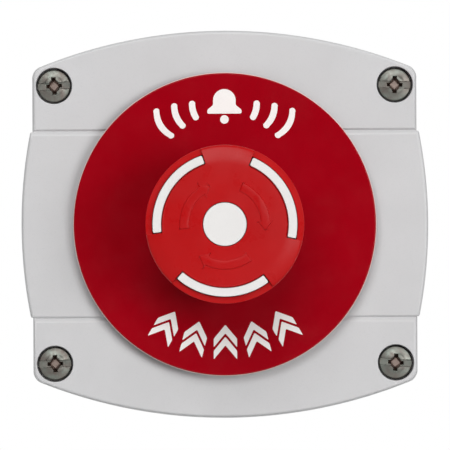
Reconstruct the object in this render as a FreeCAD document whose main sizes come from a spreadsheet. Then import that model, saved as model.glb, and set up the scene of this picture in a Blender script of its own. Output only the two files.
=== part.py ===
import FreeCAD, Part
import math
import os
import re
import Sketcher

# Wall enclosure with a mushroom push button. The wall is the plane Y = 0, the front faces -Y and Z is up.
# Depths are measured from the wall towards the front, in millimetres.

SIZES = {
    # Outline of the enclosure at the joint of its halves
    "side_half_width": 50.5,
    "band_step": 0.7,
    "band_rise": 2.3,
    "band_half_height": 23.9,
    "half_height": 50.9,
    "top_rise": 10.2,
    "corner_round": 3.1,
    # Halves of the enclosure
    "box_depth": 30,
    "cover_depth": 30,
    "box_draft": 1.5,
    "cover_draft": 2.5,
    "wall_thickness": 2.4,
    "back_thickness": 3,
    "panel_thickness": 3,
    "face_round": 1,
    "joint_half_width": 0.85,
    "joint_depth": 1.1,
    "gasket_inset": 0.9,
    "gasket_width": 1.5,
    "gasket_depth": 1.2,
    # Fixing to the wall, cable entry and knock-outs
    "wall_hole_side_inset": 18.5,
    "wall_hole_top_inset": 13.9,
    "wall_hole_radius": 2.25,
    "wall_pad_radius": 4.6,
    "wall_pad_height": 1.5,
    "entry_radius": 10.25,
    "knock_out_radius": 10.25,
    "knock_out_line": 0.5,
    "knock_out_depth": 1.6,
    # Cover screws
    "screw_side_inset": 6.6,
    "screw_top_inset": 4.9,
    "column_half_size": 6.3,
    "well_radius": 4.65,
    "well_depth": 4.5,
    "screw_shank_radius": 2,
    "screw_length": 36,
    "screw_head_radius": 4.1,
    "screw_head_height": 2.7,
    "screw_head_round": 1.5,
    "recess_width": 1.1,
    "recess_depth": 1.4,
    "cross_half_length": 2.3,
    "seal_thickness": 0.6,
    "shank_clearance": 0.25,
    "insert_radius": 2.9,
    "insert_length": 11,
    "fit_clearance": 0.05,
    # Round seat of the cover and the legend disc
    "seat_radius": 20,
    "seat_height": 2.5,
    "panel_hole_radius": 11.15,
    "key_half_width": 1.5,
    "key_height": 1.5,
    "key_clearance": 0.2,
    "disc_radius": 39,
    "disc_thickness": 2,
    "disc_edge": 0.5,
    # Marks of the disc
    "mark_inner_radius": 25.8,
    "mark_outer_radius": 34.7,
    "mark_stroke": 1.65,
    "mark_depth": 0.6,
    "mark_rise": 0.08,
    "wave_first_angle": 15,
    "wave_step_angle": 8,
    "wave_first_half_height": 2.6,
    "wave_step_height": 0.9,
    "wave_bulge_radius": 7,
    "wave_count": 3,
    "chevron_pairs_each_side": 2,
    "chevron_step_angle": 15,
    "chevron_half_width": 3,
    "chevron_rise": 3.6,
    "chevron_band": 2.2,
    "bell_half_width": 4.4,
    "bell_body_half_width": 2.9,
    "bell_brim": 1,
    "bell_flare": 1.2,
    "clapper_radius": 1.1,
    "clapper_gap": 0.4,
    # Actuator
    "bezel_gasket_thickness": 1,
    "bezel_gasket_radius": 13.9,
    "thread_radius": 11,
    "flange_radius": 13.2,
    "flange_thickness": 2.7,
    "barrel_reach": 22,
    "barrel_bore_radius": 9.6,
    "guide_recess": 6,
    "guide_length": 6,
    "guide_recess_radius": 9.2,
    "stem_radius": 7,
    "slide_clearance": 0.05,
    "bezel_radius": 14.75,
    "bezel_lip": 2,
    "bezel_inner_radius": 10.2,
    "bezel_round": 1,
    "lip_seal_outer_radius": 11.8,
    "lip_seal_inner_radius": 9.55,
    "lip_seal_thickness": 1.6,
    "nut_radius": 15.5,
    "nut_thickness": 5,
    "nut_notch_count": 8,
    "nut_notch_half_width": 1.6,
    "nut_notch_depth": 1.5,
    # Collar behind the barrel
    "holder_half_width": 11,
    "holder_half_height": 19,
    "holder_plate": 3,
    "holder_step": 4,
    "holder_length": 12,
    "holder_radius": 14,
    "holder_screw_radius": 1.5,
    "holder_screw_head_radius": 2.6,
    "holder_screw_head": 2,
    # Stem and return spring
    "push_travel": 5,
    "spring_length": 14,
    "spring_wire": 1.4,
    "spring_mean_radius": 8.3,
    "spring_turns": 5,
    "collar_radius": 9.25,
    "collar_thickness": 2.5,
    "stem_tail": 2.5,
    "retaining_ring_thickness": 1,
    "retaining_ring_radius": 8.6,
    "ring_groove": 0.8,
    "pivot_radius": 5,
    "head_ring_radius": 6.4,
    "head_ring_thickness": 0.8,
    # Head
    "head_play": 0.3,
    "neck_radius": 9.2,
    "travel_margin": 0.5,
    "skirt_root_radius": 12,
    "skirt_rim_radius": 19.4,
    "skirt_height": 6,
    "skirt_rim": 0.8,
    "skirt_bow_radius": 14,
    "skirt_wall": 1.8,
    "spigot_height": 2.8,
    "hub_radius": 10,
    "cap_radius": 20,
    "cap_height": 12.3,
    "cap_top": 4,
    "cap_wall": 1.75,
    "cap_round": 4,
    "cap_flare": 0.3,
    "cap_back_round": 0.8,
    "dome_radius": 250,
    "window_gap": 0.15,
    "insert_plate": 2.2,
    "arc_inner_radius": 16,
    "arc_width": 2.1,
    "arc_angle": 79,
    "arc_rise": 3.8,
    "ledge_depth": 1.7,
    "dot_radius": 5.45,
    "lobe_count": 3,
    "head_angle": 267.6,
    "arrow_inner_radius": 9.1,
    "arrow_outer_radius": 11.35,
    "arrow_height": 0.25,
    "arrow_tail_angle": 38.4,
    "arrow_barb_angle": 23.6,
    "arrow_tip_angle": 36.6,
    "arrow_barb": 0.7,
    # Contact blocks
    "block_offset": 4.65,
    "block_half_width": 4.5,
    "block_depth": 22,
    "block_half_height": 18,
    "block_core_half_height": 12,
    "chamber_half_height": 10,
    "chamber_wall": 1.2,
    "chamber_front": 3.5,
    "chamber_back": 3,
    "plunger_radius": 1.75,
    "plunger_tail_radius": 1.2,
    "plunger_tail": 0.5,
    "plunger_clearance": 0.08,
    "contact_gap": 0.1,
    "bridge_setback": 8,
    "bridge_half_width": 2.5,
    "bridge_half_height": 8.5,
    "bridge_thickness": 1,
    "strip_thickness": 0.8,
    "strip_inner": 6,
    "strip_outer": 17.5,
    "strip_half_width": 2.4,
    "clamp_half_size": 2.9,
    "clamp_thickness": 1,
    "terminal_height": 14.9,
    "terminal_screw_radius": 1.7,
    "terminal_screw_head_radius": 2.6,
    "terminal_screw_head": 2.2,
    "terminal_screw_length": 5,
    "contact_spring_wire": 0.5,
    "contact_spring_radius": 2,
    "contact_spring_turns": 6,
}

doc = FreeCAD.newDocument("PanicButton")
sheet = doc.addObject("Spreadsheet::Sheet", "Sizes")
for row, (alias, size) in enumerate(SIZES.items(), start=1):
    sheet.set(f"A{row}", alias)
    sheet.set(f"B{row}", str(size))
    sheet.setAlias(f"B{row}", alias)
doc.recompute()

# Depths that several pieces share
FACE = "(box_depth + cover_depth)"
PANEL_BACK = f"({FACE} - panel_thickness)"
SEAT = f"({FACE} + seat_height)"
DISC_FRONT = f"({SEAT} + disc_thickness)"
FLANGE_BACK = f"({DISC_FRONT} + bezel_gasket_thickness)"
FLANGE_FRONT = f"({FLANGE_BACK} + flange_thickness)"
BEZEL_FRONT = f"({FLANGE_FRONT} + bezel_lip)"
WELL_SEAT = f"({FACE} - well_depth)"
SCREW_SEAT = f"({WELL_SEAT} + seal_thickness)"
BARREL_BACK = f"({FACE} - barrel_reach)"
GUIDE_BACK = f"({BARREL_BACK} + guide_recess)"
GUIDE_FRONT = f"({GUIDE_BACK} + guide_length)"
COLLAR_BACK = f"({GUIDE_FRONT} + spring_length)"
COLLAR_FRONT = f"({COLLAR_BACK} + collar_thickness)"
STEM_BACK = f"({GUIDE_BACK} - retaining_ring_thickness - stem_tail)"
HOLDER_BACK = f"({BARREL_BACK} - holder_step)"
HOLDER_SCREW_DEPTH = f"({BARREL_BACK} + (holder_length - holder_step) / 2)"
NECK_BACK = f"({COLLAR_FRONT} + head_play)"
SKIRT_BACK = f"({BEZEL_FRONT} + push_travel + travel_margin)"
CAP_BACK = f"({SKIRT_BACK} + skirt_height)"
CAP_FRONT = f"({CAP_BACK} + cap_height)"
CAP_INSIDE = f"({CAP_FRONT} - cap_top)"
INSERT_BACK = f"({CAP_INSIDE} - insert_plate)"
HEAD_RING_BACK = f"({INSERT_BACK} - 2 * head_ring_thickness - head_play)"
PIVOT_FRONT = f"({INSERT_BACK} - 2 * head_play)"
BLOCK_BACK = f"({HOLDER_BACK} - block_depth)"
BRIDGE_FRONT = f"({HOLDER_BACK} - bridge_setback)"
STRIP_BACK = f"({BRIDGE_FRONT} + contact_gap)"
SHELF_BACK = f"({STRIP_BACK} + strip_thickness)"
CHAMBER_BACK = f"({BLOCK_BACK} + chamber_back)"
PLUNGER_FRONT = f"({STEM_BACK} - contact_gap)"

# Half the width over the middle band
BAND_ACROSS = "(side_half_width + band_step + band_rise)"

# Places of the cover screws and of the wall holes, from the middle
SCREW_ACROSS = "(side_half_width - screw_side_inset)"
SCREW_UP = "(half_height - top_rise - screw_top_inset)"
WALL_HOLE_ACROSS = "(side_half_width - wall_hole_side_inset)"
WALL_HOLE_UP = "(half_height - wall_hole_top_inset)"

# Bows of the outline, each the radius of the arc through the middle and the two ends
TOP_BOW = "((side_half_width ^ 2 + top_rise ^ 2) / (2 * top_rise))"
SIDE_BOW = "((band_half_height ^ 2 + band_rise ^ 2) / (2 * band_rise))"
HOLLOW_INSET = "(cover_depth * tan(cover_draft) + wall_thickness)"

CORNERS = [(1, 1), (-1, 1), (-1, -1), (1, -1)]


def formula(text):
    """The text as an expression on the sheet, each word that is an alias led by the sheet's name."""
    return re.sub(r"[a-z_]+", lambda word: f"Sizes.{word[0]}" if word[0] in SIZES else word[0], str(text))


def value(text):
    return float(sheet.evalExpression(formula(text)))


def new_body(label):
    body = doc.addObject("PartDesign::Body", label)
    body.Label = label
    return body


def new_sketch(body, role, offset="0"):
    """A sketch on one of the body's own origin planes. On XZ_Plane the offset is a depth from the wall."""
    sketch = body.newObject("Sketcher::SketchObject", f"{body.Name}_sketch")
    plane = next(feature for feature in body.Origin.OriginFeatures if feature.Role == role)
    sketch.AttachmentSupport = [(plane, "")]
    sketch.MapMode = "FlatFace"
    sketch.setExpression(".AttachmentOffset.Base.z", formula(offset))
    return sketch


def bind(sketch, bound, joined=()):
    """Adds constraints to a sketch at one go. Each bound one is (kind, place, formula of its size)."""
    loose = [Sketcher.Constraint("Coincident", *place) for place in joined]
    sized = [Sketcher.Constraint(kind, *place, value(size)) for kind, place, size in bound]
    numbers = sketch.addConstraint(sized + loose)
    for number, (_, _, size) in zip(numbers, bound):
        sketch.setExpression(f"Constraints[{number}]", formula(size))


def draw_circle(sketch, across, up, radius):
    """A circle whose centre and radius are formulas."""
    centre = FreeCAD.Vector(value(across), value(up), 0)
    circle = sketch.addGeometry(Part.Circle(centre, FreeCAD.Vector(0, 0, 1), value(radius)))
    bind(sketch, [
        ("DistanceX", (-1, 1, circle, 3), across),
        ("DistanceY", (-1, 1, circle, 3), up),
        ("Radius", (circle,), radius),
    ])


def arc_between(start, end, radius, turn):
    """The shorter arc from start to end: turn 1 runs anticlockwise, turn -1 clockwise."""
    chord = end - start
    reach = math.sqrt(max(radius ** 2 - chord.Length ** 2 / 4, 0))
    side = FreeCAD.Vector(-chord.y, chord.x, 0).normalize() * turn
    centre = (start + end) * 0.5 + side * reach
    first, last = (start, end) if turn > 0 else (end, start)
    first_angle = math.atan2(first.y - centre.y, first.x - centre.x)
    last_angle = math.atan2(last.y - centre.y, last.x - centre.x)
    if last_angle < first_angle:
        last_angle += 2 * math.pi
    return Part.ArcOfCircle(Part.Circle(centre, FreeCAD.Vector(0, 0, 1), radius), first_angle, last_angle)


def draw_outline(sketch, corners):
    """A closed outline through its corners.

    Each corner is (across, up), or (across, up, radius, turn) where an arc leads on from it.
    """
    points = [FreeCAD.Vector(value(corner[0]), value(corner[1]), 0) for corner in corners]
    edges = []
    for index, corner in enumerate(corners):
        start = points[index]
        end = points[(index + 1) % len(points)]
        if len(corner) == 2:
            edges.append(Part.LineSegment(start, end))
        else:
            edges.append(arc_between(start, end, value(corner[2]), corner[3]))
    numbers = sketch.addGeometry(edges)
    bound = []
    joined = []
    for index, corner in enumerate(corners):
        edge = numbers[index]
        first, last = edge_ends(corner)
        following = (index + 1) % len(corners)
        joined.append((edge, last, numbers[following], edge_ends(corners[following])[0]))
        bound.append(("DistanceX", (-1, 1, edge, first), corner[0]))
        bound.append(("DistanceY", (-1, 1, edge, first), corner[1]))
        if len(corner) > 2:
            bound.append(("Radius", (edge,), corner[2]))
    bind(sketch, bound, joined)


def edge_ends(corner):
    """Which ends of a drawn edge are its first and its last. A clockwise arc is kept the other way round."""
    return (2, 1) if len(corner) > 2 and corner[3] < 0 else (1, 2)


def draw_rectangle(sketch, left, bottom, right, top):
    draw_outline(sketch, [(left, bottom), (right, bottom), (right, top), (left, top)])


def polar(radius, angle, aside="0"):
    """A point at a radius and angle, moved aside at right angles to the radius."""
    across = f"({radius}) * cos({angle}) - ({aside}) * sin({angle})"
    up = f"({radius}) * sin({angle}) + ({aside}) * cos({angle})"
    return across, up


def draw_sector(sketch, inner, outer, middle, half_angle):
    """A ring sector between two radii."""
    start = f"({middle} - {half_angle})"
    end = f"({middle} + {half_angle})"
    draw_outline(sketch, [
        polar(outer, start) + (outer, 1),
        polar(outer, end),
        polar(inner, end) + (inner, -1),
        polar(inner, start),
    ])


def extrude(body, sketch, kind, length, reverse):
    feature = body.newObject(f"PartDesign::{kind}", f"{body.Name}_{kind.lower()}")
    feature.Profile = sketch
    feature.setExpression("Length", formula(length))
    feature.Reversed = reverse
    return feature


def pad(body, sketch, length, reverse=False):
    """On XZ_Plane a pad grows towards the front, and reversed towards the wall."""
    return extrude(body, sketch, "Pad", length, reverse)


def pocket(body, sketch, length, reverse=False):
    """A cut that must take something away. On XZ_Plane it runs towards the wall, or reversed away from it."""
    doc.recompute()
    before = body.Shape.Volume
    feature = extrude(body, sketch, "Pocket", length, reverse)
    doc.recompute()
    if not body.Shape.Volume < before:
        raise RuntimeError(f"{feature.Name} cuts nothing")
    return feature


def revolve(body, sketch):
    feature = body.newObject("PartDesign::Revolution", f"{body.Name}_revolution")
    feature.Profile = sketch
    feature.ReferenceAxis = (sketch, ["V_Axis"])
    feature.Angle = 360
    return feature


def repeat_round(body, features, sketch, count):
    """Repeats features about the axis square to the sketch."""
    pattern = body.newObject("PartDesign::PolarPattern", f"{body.Name}_pattern")
    pattern.Originals = features
    pattern.Axis = (sketch, ["N_Axis"])
    pattern.Angle = 360
    pattern.setExpression("Occurrences", formula(count))
    body.Tip = pattern
    doc.recompute()
    return pattern


def dress(body, kind, size_property, size, chosen):
    """A fillet or chamfer on the edges of the body that the test picks."""
    doc.recompute()
    base = body.Tip
    names = [f"Edge{index}" for index, edge in enumerate(base.Shape.Edges, start=1) if chosen(edge)]
    feature = body.newObject(f"PartDesign::{kind}", f"{body.Name}_{kind.lower()}")
    feature.Base = (base, names)
    feature.setExpression(size_property, formula(size))
    return feature


def lies_at(depth):
    """A test for edges that lie whole in the plane at this depth."""
    place = -value(depth)
    return lambda edge: all(abs(vertex.Y - place) < 1e-4 for vertex in edge.Vertexes)


def turned(label, corners):
    """A round piece about the Y axis. Each corner is (radius, depth), or with an arc's radius and turn."""
    body = new_body(label)
    sketch = new_sketch(body, "XY_Plane")
    draw_outline(sketch, [(corner[0], f"-({corner[1]})") + tuple(corner[2:]) for corner in corners])
    revolve(body, sketch)
    return body


def coil(label, first_depth, length, wire, mean_radius, turns):
    """A round wire wound about a line along Y, between two flat seats."""
    body = new_body(label)
    sketch = new_sketch(body, "XY_Plane")
    draw_circle(sketch, mean_radius, f"-({first_depth} + {wire} / 2)", f"{wire} / 2")
    helix = body.newObject("PartDesign::AdditiveHelix", f"{label}_helix")
    helix.Profile = sketch
    helix.ReferenceAxis = (sketch, ["V_Axis"])
    helix.Mode = "height-turns-angle"
    helix.setExpression("Height", formula(f"{length} - {wire}"))
    helix.setExpression("Turns", formula(turns))
    helix.Reversed = True
    return body


# Enclosure

def both_ways(corners):
    """The corners of the right half of an outline, and the same turned half round."""
    return corners + [(f"-({corner[0]})", f"-({corner[1]})") + tuple(corner[2:]) for corner in corners]


def box_outline(inset="0"):
    """Outline of the enclosure: bowed top and bottom, and a middle band that stands out at the sides.

    The inset is how far the drawn-in sides have moved towards the middle.
    """
    side = f"(side_half_width - {inset})"
    bow = f"({TOP_BOW} - {inset})"
    bow_middle = f"(half_height - {TOP_BOW})"
    rise = f"sqrt(({bow} - corner_round) ^ 2 - ({side} - corner_round) ^ 2)"
    stretch = f"{bow} / ({bow} - corner_round)"
    corner_across = f"(({side} - corner_round) * {stretch})"
    corner_up = f"({bow_middle} + {rise} * {stretch})"
    band_bow = f"({SIDE_BOW} - {inset})"
    band_end = f"({BAND_ACROSS} - {SIDE_BOW} + sqrt({band_bow} ^ 2 - band_half_height ^ 2))"
    return both_ways([
        (corner_across, f"-{corner_up}", "corner_round", 1),
        (side, f"-({bow_middle} + {rise})"),
        (side, "-band_half_height"),
        (band_end, "-band_half_height", band_bow, 1),
        (band_end, "band_half_height"),
        (side, "band_half_height"),
        (side, f"{bow_middle} + {rise}", "corner_round", 1),
        (corner_across, corner_up, bow, 1),
    ])


def hollow_outline(outset="0"):
    """Outline of the hollow, which leaves a solid column at each corner."""
    wide = f"(side_half_width - {HOLLOW_INSET} + {outset})"
    tall = f"({SCREW_ACROSS} - column_half_size + {outset})"
    shoulder = f"({SCREW_UP} - column_half_size + {outset})"
    bow = f"({TOP_BOW} - {HOLLOW_INSET} + {outset})"
    crest = f"(half_height - {TOP_BOW} + sqrt({bow} ^ 2 - {tall} ^ 2))"
    return both_ways([
        (wide, f"-{shoulder}"),
        (wide, shoulder),
        (tall, shoulder),
        (tall, crest, bow, 1),
        (f"-{tall}", crest),
        (f"-{tall}", shoulder),
    ])


def draw_at_corners(sketch, across, up, radius):
    """Four circles, one in each corner."""
    for right, top in CORNERS:
        draw_circle(sketch, f"{right} * {across}", f"{top} * {up}", radius)


def box_block(label, end_depth, draft):
    """A solid block from the joint of the halves to its end, its sides drawn in by the draft."""
    body = new_body(label)
    joint = new_sketch(body, "XZ_Plane", "box_depth")
    draw_outline(joint, box_outline())
    end = new_sketch(body, "XZ_Plane", end_depth)
    draw_outline(end, box_outline(f"(abs({end_depth} - box_depth) * tan({draft}))"))
    block = body.newObject("PartDesign::AdditiveLoft", f"{label}_block")
    block.Profile = joint
    block.Sections = [end]
    block.Ruled = True
    return body


def make_rear_box():
    body = box_block("rear_box", "0", "box_draft")

    hollow = new_sketch(body, "XZ_Plane", "box_depth")
    draw_outline(hollow, hollow_outline())
    pocket(body, hollow, "box_depth - back_thickness")

    groove = new_sketch(body, "XZ_Plane", "box_depth")
    draw_outline(groove, hollow_outline("gasket_inset"))
    draw_outline(groove, hollow_outline("(gasket_inset + gasket_width)"))
    pocket(body, groove, "gasket_depth")

    inserts = new_sketch(body, "XZ_Plane", "box_depth")
    draw_at_corners(inserts, SCREW_ACROSS, SCREW_UP, "insert_radius")
    pocket(body, inserts, "insert_length")

    pads = new_sketch(body, "XZ_Plane", "back_thickness")
    draw_at_corners(pads, WALL_HOLE_ACROSS, WALL_HOLE_UP, "wall_pad_radius")
    pad(body, pads, "wall_pad_height")

    holes = new_sketch(body, "XZ_Plane", "back_thickness + wall_pad_height")
    draw_at_corners(holes, WALL_HOLE_ACROSS, WALL_HOLE_UP, "wall_hole_radius")
    pocket(body, holes, "back_thickness + wall_pad_height")

    entry = new_sketch(body, "XZ_Plane", "back_thickness")
    draw_circle(entry, "0", "0", "entry_radius")
    pocket(body, entry, "back_thickness")

    for up in (1, -1):
        ring = new_sketch(body, "XY_Plane", f"{up} * half_height")
        draw_circle(ring, "0", "-box_depth / 2", "knock_out_radius")
        draw_circle(ring, "0", "-box_depth / 2", "knock_out_radius + knock_out_line")
        pocket(body, ring, "knock_out_depth", reverse=up < 0)
    return body


def make_box_gasket():
    body = new_body("box_gasket")
    sketch = new_sketch(body, "XZ_Plane", "box_depth - gasket_depth")
    draw_outline(sketch, hollow_outline("gasket_inset"))
    draw_outline(sketch, hollow_outline("(gasket_inset + gasket_width)"))
    pad(body, sketch, "gasket_depth")
    return body


def is_rim_of_face(edge):
    """True for the outer edges of the cover's face, and not for the edges of the joints across it."""
    joint = value("band_half_height + joint_half_width") + 1e-4
    across = all(abs(vertex.Z) < joint for vertex in edge.Vertexes)
    along_joint = across and abs(edge.Vertexes[0].Z - edge.Vertexes[-1].Z) < 1e-4
    return lies_at(FACE)(edge) and not along_joint


def draw_key(sketch, clearance="0"):
    """The key at the top of the barrel, or with a clearance the notch for it."""
    half_width = f"(key_half_width + {clearance})"
    top = f"thread_radius + key_height + {clearance}"
    draw_rectangle(sketch, f"-{half_width}", "barrel_bore_radius", half_width, top)


def make_front_cover():
    """Front half: a face in three fields with a joint between each two, and the round seat of the disc."""
    body = box_block("front_cover", FACE, "cover_draft")
    for up in (1, -1):
        joint = new_sketch(body, "YZ_Plane", BAND_ACROSS)
        middle = f"{up} * band_half_height"
        draw_outline(joint, [
            (f"-{FACE}", f"{middle} - joint_half_width"),
            (f"-({FACE} - joint_depth)", middle),
            (f"-{FACE}", f"{middle} + joint_half_width"),
        ])
        pocket(body, joint, f"2 * {BAND_ACROSS}")
    dress(body, "Fillet", "Radius", "face_round", is_rim_of_face)

    seat = new_sketch(body, "XZ_Plane", PANEL_BACK)
    draw_circle(seat, "0", "0", "seat_radius")
    pad(body, seat, "panel_thickness + seat_height")

    hollow = new_sketch(body, "XZ_Plane", "box_depth")
    draw_outline(hollow, hollow_outline())
    pocket(body, hollow, "cover_depth - panel_thickness", reverse=True)

    shanks = new_sketch(body, "XZ_Plane", FACE)
    draw_at_corners(shanks, SCREW_ACROSS, SCREW_UP, "screw_shank_radius + shank_clearance")
    pocket(body, shanks, "cover_depth")

    wells = new_sketch(body, "XZ_Plane", FACE)
    draw_at_corners(wells, SCREW_ACROSS, SCREW_UP, "well_radius")
    pocket(body, wells, "well_depth")

    hole = new_sketch(body, "XZ_Plane", SEAT)
    draw_circle(hole, "0", "0", "panel_hole_radius")
    pocket(body, hole, "panel_thickness + seat_height")

    key = new_sketch(body, "XZ_Plane", SEAT)
    draw_key(key, "key_clearance")
    pocket(body, key, "panel_thickness + seat_height")
    return body


def make_cover_screws():
    """Four pan head screws, each with a slot across the head and a cross recess."""
    body = new_body("cover_screws")
    heads = new_sketch(body, "XZ_Plane", SCREW_SEAT)
    draw_at_corners(heads, SCREW_ACROSS, SCREW_UP, "screw_head_radius")
    pad(body, heads, "screw_head_height")
    top = f"({SCREW_SEAT} + screw_head_height)"
    dress(body, "Fillet", "Radius", "screw_head_round", lies_at(top))

    shanks = new_sketch(body, "XZ_Plane", SCREW_SEAT)
    draw_at_corners(shanks, SCREW_ACROSS, SCREW_UP, "screw_shank_radius")
    pad(body, shanks, "screw_length", reverse=True)

    half = "recess_width / 2"
    for half_across, half_up in (("screw_head_radius", half), (half, "cross_half_length")):
        recess = new_sketch(body, "XZ_Plane", top)
        for right, up in CORNERS:
            across = f"{right} * {SCREW_ACROSS}"
            height = f"{up} * {SCREW_UP}"
            draw_rectangle(recess, f"{across} - {half_across}", f"{height} - {half_up}",
                           f"{across} + {half_across}", f"{height} + {half_up}")
        pocket(body, recess, "recess_depth")
    return body


def make_rings_at_corners(label, depth, length, outer, inner):
    """Four plain rings, one in each corner."""
    body = new_body(label)
    sketch = new_sketch(body, "XZ_Plane", depth)
    draw_at_corners(sketch, SCREW_ACROSS, SCREW_UP, outer)
    draw_at_corners(sketch, SCREW_ACROSS, SCREW_UP, inner)
    pad(body, sketch, length)
    return body


# Legend disc

def draw_bell(sketch):
    """A bell at the top of the disc, with its clapper below it."""
    brim = "(mark_inner_radius + 2 * clapper_radius + clapper_gap)"
    flare = f"({brim} + bell_brim)"
    body = f"({flare} + bell_flare)"
    shoulder = "(mark_outer_radius - bell_body_half_width)"
    draw_outline(sketch, [
        ("-bell_half_width", brim),
        ("bell_half_width", brim),
        ("bell_half_width", flare),
        ("bell_body_half_width", body),
        ("bell_body_half_width", shoulder, "bell_body_half_width", 1),
        ("0", "mark_outer_radius", "bell_body_half_width", 1),
        ("-bell_body_half_width", shoulder),
        ("-bell_body_half_width", body),
        ("-bell_half_width", flare),
    ])
    draw_circle(sketch, "0", "mark_inner_radius + clapper_radius", "clapper_radius")


def draw_wave(sketch, side, number):
    """A bowed bar beside the bell, longer the further out it stands."""
    middle = "(mark_inner_radius + mark_outer_radius) / 2"
    angle = f"(90 + {side} * (wave_first_angle + {number} * wave_step_angle))"
    half_height = f"(wave_first_half_height + {number} * wave_step_height)"
    half_stroke = "(mark_stroke / 2)"
    low = f"{middle} - {half_height}"
    high = f"{middle} + {half_height}"
    draw_outline(sketch, [
        polar(low, angle, f"-{half_stroke}") + ("wave_bulge_radius", -side),
        polar(high, angle, f"-{half_stroke}"),
        polar(high, angle, half_stroke) + ("wave_bulge_radius", side),
        polar(low, angle, half_stroke),
    ])


def draw_chevron(sketch, angle, tip):
    """An arrow mark that points at the head."""
    arm = f"{tip} + chevron_rise"
    draw_outline(sketch, [
        polar(tip, angle),
        polar(arm, angle, "chevron_half_width"),
        polar(f"{arm} + chevron_band", angle, "chevron_half_width"),
        polar(f"{tip} + chevron_band", angle),
        polar(f"{arm} + chevron_band", angle, "-chevron_half_width"),
        polar(arm, angle, "-chevron_half_width"),
    ])


def draw_waves(sketch, side):
    for number in range(int(value("wave_count"))):
        draw_wave(sketch, side, number)


def draw_chevron_pair(sketch, step):
    angle = f"(270 + {step} * chevron_step_angle)"
    draw_chevron(sketch, angle, "mark_inner_radius")
    draw_chevron(sketch, angle, "(mark_outer_radius - chevron_rise - chevron_band)")


def sketch_marks(body, depth):
    """The signs of the disc: a ringing bell above the head, and pairs of arrow marks below it."""
    bell = new_sketch(body, "XZ_Plane", depth)
    draw_bell(bell)
    sketches = [bell]
    for side in (1, -1):
        waves = new_sketch(body, "XZ_Plane", depth)
        draw_waves(waves, side)
        sketches.append(waves)
    pairs_each_side = int(value("chevron_pairs_each_side"))
    for step in range(-pairs_each_side, pairs_each_side + 1):
        chevrons = new_sketch(body, "XZ_Plane", depth)
        draw_chevron_pair(chevrons, step)
        sketches.append(chevrons)
    return sketches


def make_legend_disc():
    body = turned("legend_disc", [
        ("panel_hole_radius", SEAT),
        ("disc_radius", SEAT),
        ("disc_radius", f"{DISC_FRONT} - disc_edge", "disc_edge", -1),
        ("disc_radius - disc_edge", DISC_FRONT),
        ("panel_hole_radius", DISC_FRONT),
    ])
    key = new_sketch(body, "XZ_Plane", DISC_FRONT)
    draw_key(key, "key_clearance")
    pocket(body, key, "disc_thickness")
    for marks in sketch_marks(body, DISC_FRONT):
        pocket(body, marks, "mark_depth")
    return body


def make_legend_marks():
    body = new_body("legend_marks")
    for marks in sketch_marks(body, f"{DISC_FRONT} - mark_depth"):
        pad(body, marks, "mark_depth + mark_rise")
    return body


# Actuator

def make_bezel_gasket():
    return turned("bezel_gasket", [
        ("panel_hole_radius", DISC_FRONT),
        ("bezel_gasket_radius", DISC_FRONT),
        ("bezel_gasket_radius", FLANGE_BACK),
        ("panel_hole_radius", FLANGE_BACK),
    ])


def make_actuator_barrel():
    """Flange and threaded barrel, bored for the stem, with a key at the top."""
    body = turned("actuator_barrel", [
        ("guide_recess_radius", BARREL_BACK),
        ("thread_radius", BARREL_BACK),
        ("thread_radius", FLANGE_BACK),
        ("flange_radius", FLANGE_BACK),
        ("flange_radius", FLANGE_FRONT),
        ("lip_seal_outer_radius", FLANGE_FRONT),
        ("lip_seal_outer_radius", f"{FLANGE_FRONT} - lip_seal_thickness"),
        ("barrel_bore_radius", f"{FLANGE_FRONT} - lip_seal_thickness"),
        ("barrel_bore_radius", GUIDE_FRONT),
        ("stem_radius + slide_clearance", GUIDE_FRONT),
        ("stem_radius + slide_clearance", GUIDE_BACK),
        ("guide_recess_radius", GUIDE_BACK),
    ])
    key = new_sketch(body, "XZ_Plane", PANEL_BACK)
    draw_key(key)
    pad(body, key, f"{DISC_FRONT} - {PANEL_BACK}")
    return body


def make_bezel_ring():
    """Ring that holds the flange, with a lip over the seal."""
    return turned("bezel_ring", [
        ("flange_radius", FLANGE_BACK),
        ("bezel_radius", FLANGE_BACK),
        ("bezel_radius", f"{BEZEL_FRONT} - bezel_round", "bezel_round", -1),
        ("bezel_radius - bezel_round", BEZEL_FRONT),
        ("bezel_inner_radius", BEZEL_FRONT),
        ("bezel_inner_radius", FLANGE_FRONT),
        ("flange_radius", FLANGE_FRONT),
    ])


def make_lip_seal():
    back = f"({FLANGE_FRONT} - lip_seal_thickness)"
    return turned("lip_seal", [
        ("lip_seal_inner_radius", back),
        ("lip_seal_outer_radius", back),
        ("lip_seal_outer_radius", FLANGE_FRONT),
        ("lip_seal_inner_radius", FLANGE_FRONT),
    ])


def make_ring_nut():
    """Nut behind the cover, with notches round its edge for a spanner."""
    back = f"({PANEL_BACK} - nut_thickness)"
    body = turned("ring_nut", [
        ("thread_radius + fit_clearance", back),
        ("nut_radius", back),
        ("nut_radius", PANEL_BACK),
        ("thread_radius + fit_clearance", PANEL_BACK),
    ])
    notch = new_sketch(body, "XZ_Plane", PANEL_BACK)
    draw_rectangle(notch, "-nut_notch_half_width", "nut_radius - nut_notch_depth",
                   "nut_notch_half_width", "nut_radius + nut_notch_depth")
    repeat_round(body, [pocket(body, notch, "nut_thickness")], notch, "nut_notch_count")
    return body


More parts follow.
